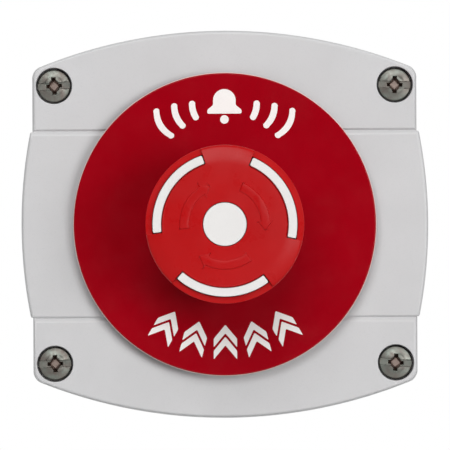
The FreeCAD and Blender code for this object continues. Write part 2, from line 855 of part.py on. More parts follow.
def make_contact_holder():
    """Collar on the end of the barrel, with the plate that carries the contact blocks."""
    body = new_body("contact_holder")
    plate = new_sketch(body, "XZ_Plane", HOLDER_BACK)
    draw_rectangle(plate, "-holder_half_width", "-holder_half_height",
                   "holder_half_width", "holder_half_height")
    pad(body, plate, "holder_plate")
    collar = new_sketch(body, "XZ_Plane", HOLDER_BACK)
    draw_circle(collar, "0", "0", "holder_radius")
    pad(body, collar, "holder_length")
    through = new_sketch(body, "XZ_Plane", f"{HOLDER_BACK} + holder_length")
    draw_circle(through, "0", "0", "guide_recess_radius")
    pocket(body, through, "holder_length")
    bore = new_sketch(body, "XZ_Plane", f"{HOLDER_BACK} + holder_length")
    draw_circle(bore, "0", "0", "thread_radius + fit_clearance")
    pocket(body, bore, "holder_length - holder_step")
    screw_hole = new_sketch(body, "XY_Plane", "holder_radius")
    draw_circle(screw_hole, "0", f"-{HOLDER_SCREW_DEPTH}", "holder_screw_radius")
    pocket(body, screw_hole, "holder_radius - thread_radius")
    return body


def make_holder_screw():
    """Screw from the top of the collar to the barrel."""
    body = new_body("holder_screw")
    shank = new_sketch(body, "XY_Plane", "thread_radius")
    draw_circle(shank, "0", f"-{HOLDER_SCREW_DEPTH}", "holder_screw_radius")
    pad(body, shank, "holder_radius - thread_radius")
    head = new_sketch(body, "XY_Plane", "holder_radius")
    draw_circle(head, "0", f"-{HOLDER_SCREW_DEPTH}", "holder_screw_head_radius")
    pad(body, head, "holder_screw_head")
    return body


# Stem

def make_stem():
    """Rod with a collar for the spring, a groove for each retaining ring and a pivot for the head."""
    return turned("stem", [
        ("0", STEM_BACK),
        ("stem_radius", STEM_BACK),
        ("stem_radius", f"{GUIDE_BACK} - retaining_ring_thickness"),
        ("stem_radius - ring_groove", f"{GUIDE_BACK} - retaining_ring_thickness"),
        ("stem_radius - ring_groove", GUIDE_BACK),
        ("stem_radius", GUIDE_BACK),
        ("stem_radius", COLLAR_BACK),
        ("collar_radius", COLLAR_BACK),
        ("collar_radius", COLLAR_FRONT),
        ("pivot_radius", COLLAR_FRONT),
        ("pivot_radius", HEAD_RING_BACK),
        ("pivot_radius - ring_groove", HEAD_RING_BACK),
        ("pivot_radius - ring_groove", f"{HEAD_RING_BACK} + head_ring_thickness"),
        ("pivot_radius", f"{HEAD_RING_BACK} + head_ring_thickness"),
        ("pivot_radius", PIVOT_FRONT),
        ("0", PIVOT_FRONT),
    ])


def make_retaining_ring(label, back, thickness, inner, outer):
    return turned(label, [
        (inner, back),
        (outer, back),
        (outer, f"{back} + {thickness}"),
        (inner, f"{back} + {thickness}"),
    ])


# Head

def dome(radius):
    """Height of the domed top over the start of its rounded edge."""
    return f"(sqrt(dome_radius ^ 2 - ({radius}) ^ 2) - sqrt(dome_radius ^ 2 - (cap_radius - cap_round) ^ 2))"


def make_mushroom_cap():
    """Red cap with three lobes. Between them it steps down, and the white arcs come through the steps."""
    edge = "(cap_radius - cap_round)"
    side = "(cap_radius - cap_flare)"
    hollow = "(cap_radius - cap_wall)"
    dot_hole = "(dot_radius + window_gap)"
    body = turned("mushroom_cap", [
        (hollow, CAP_BACK),
        (f"{side} - cap_back_round", CAP_BACK, "cap_back_round", -1),
        (side, f"{CAP_BACK} + cap_back_round"),
        ("cap_radius", f"{CAP_FRONT} - cap_round", "cap_round", -1),
        (edge, CAP_FRONT, "dome_radius", -1),
        (dot_hole, f"{CAP_FRONT} + {dome(dot_hole)}"),
        (dot_hole, CAP_INSIDE),
        (hollow, CAP_INSIDE),
    ])
    inner = "(arc_inner_radius - window_gap)"
    half_angle = "(arc_angle / 2 + window_gap / arc_inner_radius * 180 / pi)"
    above = dome("0")

    step = new_sketch(body, "XZ_Plane", f"{CAP_FRONT} + {above}")
    draw_sector(step, inner, "(cap_radius + cap_round)", "head_angle", half_angle)
    step_cut = pocket(body, step, f"{above} + ledge_depth")

    window = new_sketch(body, "XZ_Plane", f"{CAP_FRONT} - ledge_depth")
    draw_sector(window, inner, hollow, "head_angle", half_angle)
    window_cut = pocket(body, window, "cap_top - ledge_depth")

    arrow = new_sketch(body, "XZ_Plane", CAP_INSIDE)
    draw_arrow(arrow)
    middle = "((arrow_inner_radius + arrow_outer_radius) / 2)"
    arrow_pad = pad(body, arrow, f"cap_top + {dome(middle)} + arrow_height")
    doc.recompute()
    repeat_round(body, [step_cut, window_cut, arrow_pad], step, "lobe_count")
    return body


def draw_arrow(sketch):
    """A bowed arrow that runs clockwise about the middle of the head."""
    tail = "(head_angle + arrow_tail_angle)"
    barb = "(head_angle - arrow_barb_angle)"
    tip = "(head_angle - arrow_tip_angle)"
    draw_outline(sketch, [
        polar("arrow_outer_radius", tail) + ("arrow_outer_radius", -1),
        polar("arrow_outer_radius", barb),
        polar("arrow_outer_radius + arrow_barb", barb),
        polar("(arrow_inner_radius + arrow_outer_radius) / 2", tip),
        polar("arrow_inner_radius - arrow_barb", barb),
        polar("arrow_inner_radius", barb) + ("arrow_inner_radius", 1),
        polar("arrow_inner_radius", tail),
    ])


def make_indicator_insert():
    """White plate behind the top of the cap, with the centre and three arcs that come through it."""
    body = new_body("indicator_insert")
    plate = new_sketch(body, "XZ_Plane", INSERT_BACK)
    draw_circle(plate, "0", "0", "arc_inner_radius + arc_width")
    pad(body, plate, "insert_plate")
    dot = new_sketch(body, "XZ_Plane", CAP_INSIDE)
    draw_circle(dot, "0", "0", "dot_radius")
    pad(body, dot, f"cap_top + {dome('dot_radius')}")
    arc = new_sketch(body, "XZ_Plane", CAP_INSIDE)
    draw_sector(arc, "arc_inner_radius", "(arc_inner_radius + arc_width)", "head_angle", "(arc_angle / 2)")
    arc_pad = pad(body, arc, "arc_rise")
    doc.recompute()
    repeat_round(body, [arc_pad], arc, "lobe_count")
    return body


def make_head_skirt():
    """Back of the head: a neck on the stem's pivot, a coved flare and a spigot inside the cap."""
    spigot = "(arc_inner_radius + arc_width)"
    recess = "(head_ring_radius + 2 * head_play)"
    bore = "(pivot_radius + slide_clearance)"
    return turned("head_skirt", [
        (bore, NECK_BACK),
        ("neck_radius", NECK_BACK),
        ("neck_radius", SKIRT_BACK),
        ("skirt_root_radius", SKIRT_BACK, "skirt_bow_radius", 1),
        ("skirt_rim_radius", f"{CAP_BACK} - skirt_rim"),
        ("skirt_rim_radius", CAP_BACK),
        (spigot, CAP_BACK),
        (spigot, f"{CAP_BACK} + spigot_height"),
        (f"{spigot} - skirt_wall", f"{CAP_BACK} + spigot_height"),
        (f"{spigot} - skirt_wall", CAP_BACK),
        ("hub_radius", f"{SKIRT_BACK} + skirt_wall"),
        ("hub_radius", INSERT_BACK),
        (recess, INSERT_BACK),
        (recess, f"{HEAD_RING_BACK} - head_play"),
        (bore, f"{HEAD_RING_BACK} - head_play"),
    ])


# Contact blocks, each drawn about the middle of the part and then moved to its side

def make_contact_housing(label):
    """Housing with a chamber open at its outer side and a shelf for the terminals at each end."""
    body = new_body(label)
    profile = new_sketch(body, "YZ_Plane", "-block_half_width")
    draw_outline(profile, both_ends([
        (f"-{HOLDER_BACK}", "block_half_height"),
        (f"-{SHELF_BACK}", "block_half_height"),
        (f"-{SHELF_BACK}", "block_core_half_height"),
        (f"-{BLOCK_BACK}", "block_core_half_height"),
    ]))
    pad(body, profile, "2 * block_half_width")

    chamber = new_sketch(body, "YZ_Plane", "block_half_width")
    draw_rectangle(chamber, f"-({HOLDER_BACK} - chamber_front)", "-chamber_half_height",
                   f"-{CHAMBER_BACK}", "chamber_half_height")
    pocket(body, chamber, "2 * block_half_width - chamber_wall")

    strips = new_sketch(body, "XY_Plane", "block_core_half_height")
    draw_rectangle(strips, "-strip_half_width", f"-{SHELF_BACK}", "strip_half_width", f"-{STRIP_BACK}")
    pocket(body, strips, "2 * block_core_half_height")

    front_guide = new_sketch(body, "XZ_Plane", HOLDER_BACK)
    draw_circle(front_guide, "0", "0", "plunger_radius + plunger_clearance")
    pocket(body, front_guide, "chamber_front")

    back_guide = new_sketch(body, "XZ_Plane", CHAMBER_BACK)
    draw_circle(back_guide, "0", "0", "plunger_tail_radius + plunger_clearance")
    pocket(body, back_guide, "chamber_back")

    screws = new_sketch(body, "XZ_Plane", SHELF_BACK)
    draw_at_ends(screws, "terminal_screw_radius")
    pocket(body, screws, "terminal_screw_length - clamp_thickness - strip_thickness", reverse=True)
    return body


def both_ends(corners):
    """The corners of the upper half of an outline, and the lower half as its mirror image."""
    return corners + [(corner[0], f"-({corner[1]})") for corner in reversed(corners)]


def draw_at_ends(sketch, radius):
    """A circle at each terminal of a contact block."""
    for up in (1, -1):
        draw_circle(sketch, "0", f"{up} * terminal_height", radius)


def draw_plates_at_ends(sketch, half_width, inner, outer):
    """A rectangle at each end of a contact block."""
    draw_rectangle(sketch, f"-{half_width}", inner, half_width, outer)
    draw_rectangle(sketch, f"-{half_width}", f"-({outer})", half_width, f"-({inner})")


def make_contact_terminals(label):
    body = new_body(label)
    sketch = new_sketch(body, "XZ_Plane", STRIP_BACK)
    draw_plates_at_ends(sketch, "strip_half_width", "strip_inner", "strip_outer")
    draw_at_ends(sketch, "terminal_screw_radius")
    pad(body, sketch, "strip_thickness")
    return body


def make_terminal_clamps(label):
    body = new_body(label)
    sketch = new_sketch(body, "XZ_Plane", f"{STRIP_BACK} - clamp_thickness")
    draw_plates_at_ends(sketch, "clamp_half_size", "terminal_height - clamp_half_size",
                        "terminal_height + clamp_half_size")
    draw_at_ends(sketch, "terminal_screw_radius")
    pad(body, sketch, "clamp_thickness")
    return body


def make_terminal_screws(label):
    body = new_body(label)
    seat = f"({STRIP_BACK} - clamp_thickness)"
    shanks = new_sketch(body, "XZ_Plane", seat)
    draw_at_ends(shanks, "terminal_screw_radius")
    pad(body, shanks, "terminal_screw_length")
    heads = new_sketch(body, "XZ_Plane", seat)
    draw_at_ends(heads, "terminal_screw_head_radius")
    pad(body, heads, "terminal_screw_head", reverse=True)
    slots = new_sketch(body, "XZ_Plane", f"{seat} - terminal_screw_head")
    half = "recess_width / 2"
    for up in (1, -1):
        height = f"{up} * terminal_height"
        draw_rectangle(slots, "-terminal_screw_head_radius", f"{height} - {half}",
                       "terminal_screw_head_radius", f"{height} + {half}")
    pocket(body, slots, "terminal_screw_head / 2", reverse=True)
    return body


def make_contact_plunger(label):
    return turned(label, [
        ("0", f"{BLOCK_BACK} + plunger_tail"),
        ("plunger_tail_radius", f"{BLOCK_BACK} + plunger_tail"),
        ("plunger_tail_radius", BRIDGE_FRONT),
        ("plunger_radius", BRIDGE_FRONT),
        ("plunger_radius", PLUNGER_FRONT),
        ("0", PLUNGER_FRONT),
    ])


def make_contact_bridge(label):
    body = new_body(label)
    sketch = new_sketch(body, "XZ_Plane", f"{BRIDGE_FRONT} - bridge_thickness")
    draw_rectangle(sketch, "-bridge_half_width", "-bridge_half_height",
                   "bridge_half_width", "bridge_half_height")
    draw_circle(sketch, "0", "0", "plunger_tail_radius")
    pad(body, sketch, "bridge_thickness")
    return body


def make_contact_spring(label):
    return coil(label, CHAMBER_BACK, f"({BRIDGE_FRONT} - bridge_thickness - {CHAMBER_BACK})",
                "contact_spring_wire", "contact_spring_radius", "contact_spring_turns")


def make_contact_block(side_name, side):
    """The pieces of one contact block, turned half round on the left so that its chamber opens outwards."""
    makers = {
        "contact_housing": make_contact_housing,
        "contact_terminals": make_contact_terminals,
        "terminal_clamps": make_terminal_clamps,
        "terminal_screws": make_terminal_screws,
        "contact_plunger": make_contact_plunger,
        "contact_bridge": make_contact_bridge,
        "contact_spring": make_contact_spring,
    }
    pieces = []
    for name, maker in makers.items():
        piece = maker(f"{name}_{side_name}")
        if side < 0:
            piece.Placement.Rotation = FreeCAD.Rotation(FreeCAD.Vector(0, 1, 0), 180)
        piece.setExpression(".Placement.Base.x", formula(f"{side} * block_offset"))
        pieces.append(piece)
    return pieces


pieces = [
    make_rear_box(),
    make_box_gasket(),
    make_front_cover(),
    make_cover_screws(),
    make_rings_at_corners("cover_screw_seals", WELL_SEAT, "seal_thickness",
                          "screw_head_radius", "screw_shank_radius"),
    make_rings_at_corners("screw_inserts", "box_depth - insert_length", "insert_length",
                          "insert_radius", "screw_shank_radius"),
    make_legend_disc(),
    make_legend_marks(),
    make_bezel_gasket(),
    make_actuator_barrel(),
    make_bezel_ring(),
    make_lip_seal(),
    make_ring_nut(),
    make_contact_holder(),
    make_holder_screw(),
    make_stem(),
    make_retaining_ring("stem_retaining_ring", f"({GUIDE_BACK} - retaining_ring_thickness)",
                        "retaining_ring_thickness", "stem_radius - ring_groove", "retaining_ring_radius"),
    coil("return_spring", GUIDE_FRONT, "spring_length", "spring_wire", "spring_mean_radius", "spring_turns"),
    make_retaining_ring("head_retaining_ring", HEAD_RING_BACK, "head_ring_thickness",
                        "pivot_radius - ring_groove", "head_ring_radius"),
    make_mushroom_cap(),
    make_indicator_insert(),
    make_head_skirt(),
]
for side_name, side in (("left", -1), ("right", 1)):
    pieces += make_contact_block(side_name, side)

doc.recompute()
for item in doc.Objects:
    if "Invalid" in item.State or "Error" in item.State:
        raise RuntimeError(f"{item.Name} failed: {item.State}")
for piece in pieces:
    if piece.Shape.isNull() or not piece.Shape.isValid():
        raise RuntimeError(f"{piece.Label} has no valid shape")

os.makedirs("parts", exist_ok=True)
for piece in pieces:
    piece.Shape.exportStep(os.path.join("parts", f"{piece.Label}.step"))
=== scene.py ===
import bmesh
import bpy
import math
from mathutils import Matrix, Vector


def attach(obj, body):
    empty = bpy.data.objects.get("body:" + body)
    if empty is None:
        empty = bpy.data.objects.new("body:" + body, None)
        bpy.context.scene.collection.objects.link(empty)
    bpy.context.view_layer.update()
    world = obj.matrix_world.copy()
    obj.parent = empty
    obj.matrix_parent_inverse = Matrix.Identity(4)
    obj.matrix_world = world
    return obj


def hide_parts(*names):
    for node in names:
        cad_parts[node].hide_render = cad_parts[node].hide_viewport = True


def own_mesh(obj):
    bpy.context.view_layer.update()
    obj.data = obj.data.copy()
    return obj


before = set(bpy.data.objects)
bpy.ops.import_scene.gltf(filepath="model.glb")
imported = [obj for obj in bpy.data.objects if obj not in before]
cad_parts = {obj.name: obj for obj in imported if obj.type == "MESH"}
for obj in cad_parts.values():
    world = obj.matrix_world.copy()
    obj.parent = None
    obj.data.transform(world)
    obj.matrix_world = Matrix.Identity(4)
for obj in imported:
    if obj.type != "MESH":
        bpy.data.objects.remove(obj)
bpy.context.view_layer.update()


# Rear half of the enclosure. A deep box moulded in light grey ABS, a little rough to the touch, that is
# screwed to the wall through its four holes. Its top and bottom are bowed, and a middle band stands out
# at the sides. It has a cable entry in the back and a round knock-out in the top and in the bottom.

def at(across, up, depth):
    """A point in millimetres, by its place on the front and its depth from the wall."""
    return Vector((across, -depth, up))


def bow(form, corner, end, radius, axis, steps):
    """Sweeps a corner along an arc to its end. A positive radius goes anticlockwise about the axis."""
    chord = end - corner.co
    reach = math.sqrt(radius ** 2 - chord.length ** 2 / 4)
    centre = corner.co + chord / 2 + axis.cross(chord).normalized() * math.copysign(reach, radius)
    angle = 2 * math.asin(chord.length / 2 / radius)
    swept = bmesh.ops.spin(form, geom=[corner], cent=centre, axis=axis, angle=angle, steps=steps)
    return swept["geom_last"][0]


def line(form, corner, end):
    """Draws a straight edge from a corner to its end."""
    last = form.verts.new(end)
    form.edges.new((corner, last))
    return last


NEAR = 0.001
ONE_PLACE = 0.0005


def mirror_quarter(form, old):
    """Completes an outline of which the top right quarter is drawn."""
    for axis in "XZ":
        drawn = [part for part in form.verts[:] + form.edges[:] if part not in old]
        bmesh.ops.mirror(form, geom=drawn, matrix=Matrix(), merge_dist=NEAR, axis=axis)


HALF_HEIGHT = 50.895
HALF_WIDTH = 53.48
SIDE_HALF = 50.5
TOP_BOW = 130.11
BAND_BOW = 125.33
BAND_HALF = 23.9
CORNER_ROUND = 2.06
PARTING = 30
ALONG_WALL = Vector((0, 1, 0))


def draw_enclosure(form, depth, inset):
    """The outline of the enclosure, its sides drawn in by the inset."""
    old = set(form.verts[:] + form.edges[:])
    middle = HALF_HEIGHT - TOP_BOW
    side = SIDE_HALF - inset
    top = form.verts.new(at(0, HALF_HEIGHT - inset, depth))
    shoulder = middle + math.sqrt((TOP_BOW - inset) ** 2 - side ** 2)
    corner = bow(form, top, at(side, shoulder, depth), TOP_BOW - inset, ALONG_WALL, 22)
    corner = line(form, corner, at(side, BAND_HALF, depth))
    band_middle = HALF_WIDTH - BAND_BOW
    band_end = band_middle + math.sqrt((BAND_BOW - inset) ** 2 - BAND_HALF ** 2)
    corner = line(form, corner, at(band_end, BAND_HALF, depth))
    bow(form, corner, at(HALF_WIDTH - inset, 0, depth), BAND_BOW - inset, ALONG_WALL, 12)
    mirror_quarter(form, old)


def close_between(form):
    """Makes a solid of two outlines that are drawn one before the other."""
    bmesh.ops.bridge_loops(form, edges=form.edges)
    bmesh.ops.holes_fill(form, edges=[edge for edge in form.edges if edge.is_boundary])
    bmesh.ops.recalc_face_normals(form, faces=form.faces)
    return form


def round_edges(form, edges, radius, segments):
    """Rounds some edges of a form."""
    bmesh.ops.bevel(form, geom=edges, offset=radius, segments=segments, affect="EDGES",
                    profile=0.5, material=-1)
    return form


def rim(form, depth):
    """The edges of a form that lie at a depth."""
    return [edge for edge in form.edges if all(abs(vert.co.y + depth) < NEAR for vert in edge.verts)]


def enclosure_block(depth, draft, rim_round):
    """A solid half of the enclosure from the parting line to its end, with round corners and rim."""
    form = bmesh.new()
    draw_enclosure(form, PARTING, 0)
    draw_enclosure(form, depth, abs(depth - PARTING) * math.tan(math.radians(draft)))
    close_between(form)
    corners = [edge for edge in form.edges
               if abs(edge.verts[0].co.y - edge.verts[1].co.y) > 1
               and all(abs(vert.co.x) > SIDE_HALF - 1.5 and abs(vert.co.z) > BAND_HALF + 14
                       for vert in edge.verts)]
    round_edges(form, corners, CORNER_ROUND, 8)
    return round_edges(form, rim(form, depth), rim_round, 5)


HOLLOW_TOP = 47.2
HOLLOW_SIDE = 46.8
HOLLOW_BOW = 126.41
COLUMN_SIDE = 37.6
COLUMN_FOOT = 29.5


def draw_hollow(form, depth):
    """The outline of the hollow, which leaves a column for a screw in each corner."""
    old = set(form.verts[:] + form.edges[:])
    top = form.verts.new(at(0, HOLLOW_TOP, depth))
    shoulder = HOLLOW_TOP - HOLLOW_BOW + math.sqrt(HOLLOW_BOW ** 2 - COLUMN_SIDE ** 2)
    corner = bow(form, top, at(COLUMN_SIDE, shoulder, depth), HOLLOW_BOW, ALONG_WALL, 12)
    for across, up in ((COLUMN_SIDE, COLUMN_FOOT), (HOLLOW_SIDE, COLUMN_FOOT), (HOLLOW_SIDE, 0)):
        corner = line(form, corner, at(across, up, depth))
    mirror_quarter(form, old)


def hollow_block(back, front):
    """The hollow of one half, from one depth to another."""
    form = bmesh.new()
    draw_hollow(form, back)
    draw_hollow(form, front)
    return close_between(form)


def rod(across, up, back, front, radius, end_radius=None, segments=48):
    """A round rod that points at the front, or a cone where it has an end radius."""
    form = bmesh.new()
    place = Matrix.Translation(at(across, up, (back + front) / 2)) @ Matrix.Rotation(math.pi / 2, 4, "X")
    bmesh.ops.create_cone(form, cap_ends=True, segments=segments, radius1=radius,
                          radius2=radius if end_radius is None else end_radius,
                          depth=front - back, matrix=place)
    return form


UPWARDS = Vector((0, 0, 1))


def turned(corners, steps):
    """Turns a profile of (radius, depth) corners. Two more numbers are an arc's radius and its steps."""
    form = bmesh.new()
    first = form.verts.new((corners[0][0], -corners[0][1], 0))
    corner = first
    for number, spot in enumerate(corners):
        end = corners[(number + 1) % len(corners)]
        if number == len(corners) - 1:
            if corners[0][0] > 0 or spot[0] > 0:
                form.edges.new((corner, first))
        elif len(spot) > 2:
            corner = bow(form, corner, Vector((end[0], -end[1], 0)), spot[2], UPWARDS, spot[3])
        else:
            corner = line(form, corner, Vector((end[0], -end[1], 0)))
    bmesh.ops.spin(form, geom=form.verts[:] + form.edges[:], cent=(0, 0, 0), axis=(0, 1, 0),
                   angle=2 * math.pi, steps=steps, use_merge=True)
    bmesh.ops.remove_doubles(form, verts=form.verts, dist=ONE_PLACE)
    bmesh.ops.recalc_face_normals(form, faces=form.faces)
    return form


def hole(across, up, back, front, radius, lip, from_behind=False):
    """What a round hole takes away, with a rounded lip at the front, or a cut one at the back."""
    if from_behind:
        form = turned([(0, front), (0, back - 1), (radius + lip + 1, back - 1), (radius, back + lip),
                       (radius, front)], steps=64)
    else:
        form = turned([(0, back), (radius, back), (radius, front - lip, lip, 4), (radius + lip, front),
                       (radius + lip, front + 1), (0, front + 1)], steps=64)
    bmesh.ops.translate(form, vec=(across, 0, up), verts=form.verts)
    return form


def four_ways(across, up):
    """The same place in all four corners."""
    return [(right * across, top * up) for top in (1, -1) for right in (1, -1)]


def stand_in(form):
    """Puts a form in the scene for as long as it is needed to cut or join."""
    mesh = bpy.data.meshes.new("form")
    form.to_mesh(mesh)
    form.free()
    block = bpy.data.objects.new("form", mesh)
    bpy.context.scene.collection.objects.link(block)
    return block


def combine(form, tools, operation):
    """Cuts tools out of a form, or joins them on, and gives back the form."""
    blocks = [stand_in(tool) for tool in tools]
    body = stand_in(form)
    for block in blocks:
        step = body.modifiers.new("step", "BOOLEAN")
        step.operation = operation
        step.solver = "EXACT"
        step.object = block
    made = bpy.data.meshes.new_from_object(body.evaluated_get(bpy.context.evaluated_depsgraph_get()))
    for block in blocks + [body]:
        old = block.data
        bpy.data.objects.remove(block)
        bpy.data.meshes.remove(old)
    result = bmesh.new()
    result.from_mesh(made)
    bpy.data.meshes.remove(made)
    bmesh.ops.remove_doubles(result, verts=result.verts, dist=ONE_PLACE)
    return result


def cut(form, *tools):
    """Takes the tools away from a form."""
    return combine(form, tools, "DIFFERENCE")


def join(form, *tools):
    """Makes one closed form of several."""
    return combine(form, tools, "UNION")


MILLIMETRE = 0.001
SHARP = math.radians(35)


def piece(name, form, body, finish, stands_for, edge=0.0):
    """Turns a form into a piece in metres, with its small edges broken, that rides on its body."""
    bmesh.ops.scale(form, vec=(MILLIMETRE, MILLIMETRE, MILLIMETRE), verts=form.verts)
    mesh = bpy.data.meshes.new(name)
    form.to_mesh(mesh)
    form.free()
    mesh.shade_smooth()
    mesh.set_sharp_from_angle(angle=SHARP)
    mesh.materials.append(finish.material)
    made = bpy.data.objects.new(name, mesh)
    bpy.context.scene.collection.objects.link(made)
    if edge:
        broken = made.modifiers.new("broken_edges", "BEVEL")
        broken.width = edge * MILLIMETRE
        broken.segments = 2
        broken.limit_method = "ANGLE"
        broken.angle_limit = SHARP
        broken.use_clamp_overlap = False
        broken.harden_normals = True
    else:
        made.modifiers.new("flat_faces", "WEIGHTED_NORMAL").keep_sharp = True
    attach(made, body)
    if stands_for:
        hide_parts(stands_for)
    return made


class Finish:
    """A material that is put together from its nodes."""

    def __init__(self, name):
        self.material = bpy.data.materials.new(name)
        self.material.use_nodes = True
        self.nodes = self.material.node_tree.nodes
        self.shader = self.nodes["Principled BSDF"]
        self.place = self.add("ShaderNodeTexCoord").outputs["Object"]

    def add(self, kind, **settings):
        """Adds a node with its settings."""
        node = self.nodes.new(kind)
        for name, setting in settings.items():
            setattr(node, name, setting)
        return node

    def link(self, start, end):
        """Joins an output to an input."""
        self.material.node_tree.links.new(start, end)

    def noise(self, size, detail=2.0, roughness=0.5, stretch=(1, 1, 1)):
        """Noise whose lumps are about this many millimetres across."""
        mapping = self.add("ShaderNodeMapping")
        mapping.inputs["Scale"].default_value = stretch
        self.link(self.place, mapping.inputs["Vector"])
        noise = self.add("ShaderNodeTexNoise")
        noise.inputs["Scale"].default_value = 1 / (size * MILLIMETRE)
        noise.inputs["Detail"].default_value = detail
        noise.inputs["Roughness"].default_value = roughness
        self.link(mapping.outputs["Vector"], noise.inputs["Vector"])
        return noise.outputs["Fac"]

    def depth(self):
        """Depth from the wall, in millimetres."""
        apart = self.add("ShaderNodeSeparateXYZ")
        self.link(self.place, apart.inputs["Vector"])
        return self.ramp(apart.outputs["Y"], 0, -0.1, 0, 100)

    def ramp(self, factor, start, end, low, high):
        """Spreads the part of a factor between start and end over low to high."""
        spread = self.add("ShaderNodeMapRange")
        for name, number in (("From Min", start), ("From Max", end), ("To Min", low), ("To Max", high)):
            spread.inputs[name].default_value = number
        self.link(factor, spread.inputs["Value"])
        return spread.outputs["Result"]

    def blend(self, factor, first, second):
        """A colour between two, as the factor says. A colour may be the output of another node."""
        mix = self.add("ShaderNodeMix", data_type="RGBA")
        self.link(factor, mix.inputs["Factor"])
        for socket, colour in ((mix.inputs[6], first), (mix.inputs[7], second)):
            if isinstance(colour, tuple):
                socket.default_value = (*colour, 1)
            else:
                self.link(colour, socket)
        return mix.outputs[2]

    def relief(self, height, depth, strength=1.0, under=None):
        """Bumps this many millimetres high."""
        bump = self.add("ShaderNodeBump")
        bump.inputs["Strength"].default_value = strength
        bump.inputs["Distance"].default_value = depth * MILLIMETRE
        self.link(height, bump.inputs["Height"])
        if under:
            self.link(under, bump.inputs["Normal"])
        self.link(bump.outputs["Normal"], self.shader.inputs["Normal"])
        return bump.outputs["Normal"]


def srgb(red, green, blue):
    """A colour given as it looks on a screen, from 0 to 255."""
    return tuple((part / 255 / 12.92) if part <= 10 else ((part / 255 + 0.055) / 1.055) ** 2.4
                 for part in (red, green, blue))


def moulded_plastic(name, colour, shade, roughness, grain, height):
    """Plastic with a faint cloudy shade and the grain of its mould, that is this wide and high in mm."""
    finish = Finish(name)
    cloud = finish.ramp(finish.noise(18, 3), 0.35, 0.65, 0, 1)
    speck = finish.ramp(finish.noise(grain * 1.6, 2), 0.3, 0.7, 0, 1)
    tone = finish.blend(cloud, shade, colour)
    deep = tuple(part * 0.93 for part in shade)
    pitted = finish.blend(finish.ramp(speck, 0, 0.35, 0.35, 0), tone, deep)
    finish.link(pitted, finish.shader.inputs["Base Color"])
    finish.link(finish.ramp(finish.noise(6, 4, 0.6), 0.3, 0.7, roughness - 0.05, roughness + 0.06),
                finish.shader.inputs["Roughness"])
    long_wave = finish.relief(finish.noise(9, 1), 0.02, 0.5)
    finish.relief(finish.noise(grain, 3, 0.6), height, 0.7, under=long_wave)
    return finish


enclosure_grey = moulded_plastic("enclosure_grey", srgb(206, 206, 207), srgb(202, 202, 203),
                                 0.4, 0.22, 0.01)
enclosure_grey.shader.inputs["Subsurface Weight"].default_value = 0.04
enclosure_grey.shader.inputs["Subsurface Radius"].default_value = (0.0012, 0.0011, 0.001)

RIM_ROUND = 0.6
REAR_DRAFT = 1.5
BACK_WALL = 3
WALL_FIXINGS = four_ways(32, 37)
FIXING_RADIUS = 2.25
BOSS_RADIUS = 4.6
BOSS_FRONT = 4.5
SCREW_PLACES = four_ways(43.9, 35.8)
INSERT_BED = 19
INSERT_RADIUS = 2.9
ENTRY_RADIUS = 10.25
KNOCK_OUT_GROOVE = 0.5
EJECTOR_PLACES = four_ways(18, 27) + four_ways(36, 10)
EJECTOR_RADIUS = 3
EJECTOR_DEPTH = 0.25

rear = cut(enclosure_block(0, REAR_DRAFT, RIM_ROUND), hollow_block(BACK_WALL, PARTING + 1))
rear = join(rear, *[rod(across, up, BACK_WALL - 1, BOSS_FRONT, BOSS_RADIUS)
                    for across, up in WALL_FIXINGS])
openings = [hole(0, 0, 0, BACK_WALL + 2, ENTRY_RADIUS, 0.4, from_behind=True)]
openings += [hole(across, up, 0, BOSS_FRONT + 1.5, FIXING_RADIUS, 0.3, from_behind=True)
             for across, up in WALL_FIXINGS]
openings += [rod(across, up, INSERT_BED, PARTING + 1, INSERT_RADIUS) for across, up in SCREW_PLACES]
openings += [rod(across, up, -0.5, EJECTOR_DEPTH, EJECTOR_RADIUS) for across, up in EJECTOR_PLACES]
rear = cut(rear, *openings)


def upright_rod(low_end, high_end, radius):
    """A round rod through the top or the bottom of the rear half."""
    form = bmesh.new()
    place = Matrix.Translation(at(0, (low_end + high_end) / 2, PARTING / 2))
    bmesh.ops.create_cone(form, cap_ends=True, segments=64, radius1=radius, radius2=radius,
                          depth=high_end - low_end, matrix=place)
    return form


for low_end, high_end in ((49.3, 52), (-52, -49.3)):
    knock_out = cut(upright_rod(low_end, high_end, ENTRY_RADIUS + KNOCK_OUT_GROOVE),
                    upright_rod(low_end - 1, high_end + 1, ENTRY_RADIUS))
    rear = cut(rear, knock_out)
piece("enclosure_rear_half", rear, "enclosure", enclosure_grey, "rear_box")


# Front half of the enclosure, moulded in the same grey, and held on the rear half by four screws. Its
# face is in three fields with a shallow V joint between each two. A round well in each corner takes a
# screw, and the round seat in the middle carries the disc.

def pull(form, way):
    """Pulls the only face of a form out into a solid."""
    pulled = bmesh.ops.extrude_face_region(form, geom=form.faces[:])["geom"]
    bmesh.ops.translate(form, vec=way,
                        verts=[part for part in pulled if isinstance(part, bmesh.types.BMVert)])
    bmesh.ops.recalc_face_normals(form, faces=form.faces)
    return form


FRONT_DRAFT = 2.5
FACE = 60
FACE_BACK = 57
SEAT = 62.5
SEAT_RADIUS = 20
BORE_RADIUS = 11.15
WELL_RADIUS = 4.65
WELL_SEAT = 55.5
CLEARANCE_RADIUS = 2.25
JOINT_HEIGHT = 24.1
JOINT_END = 60
JOINT_SECTION = ((60.9, 1.5), (60.9, -2.1), (FACE, -1.2), (59.82, -0.7), (59.6, -0.3), (59.42, 0),
                 (59.9, 0.4), (FACE, 0.6))

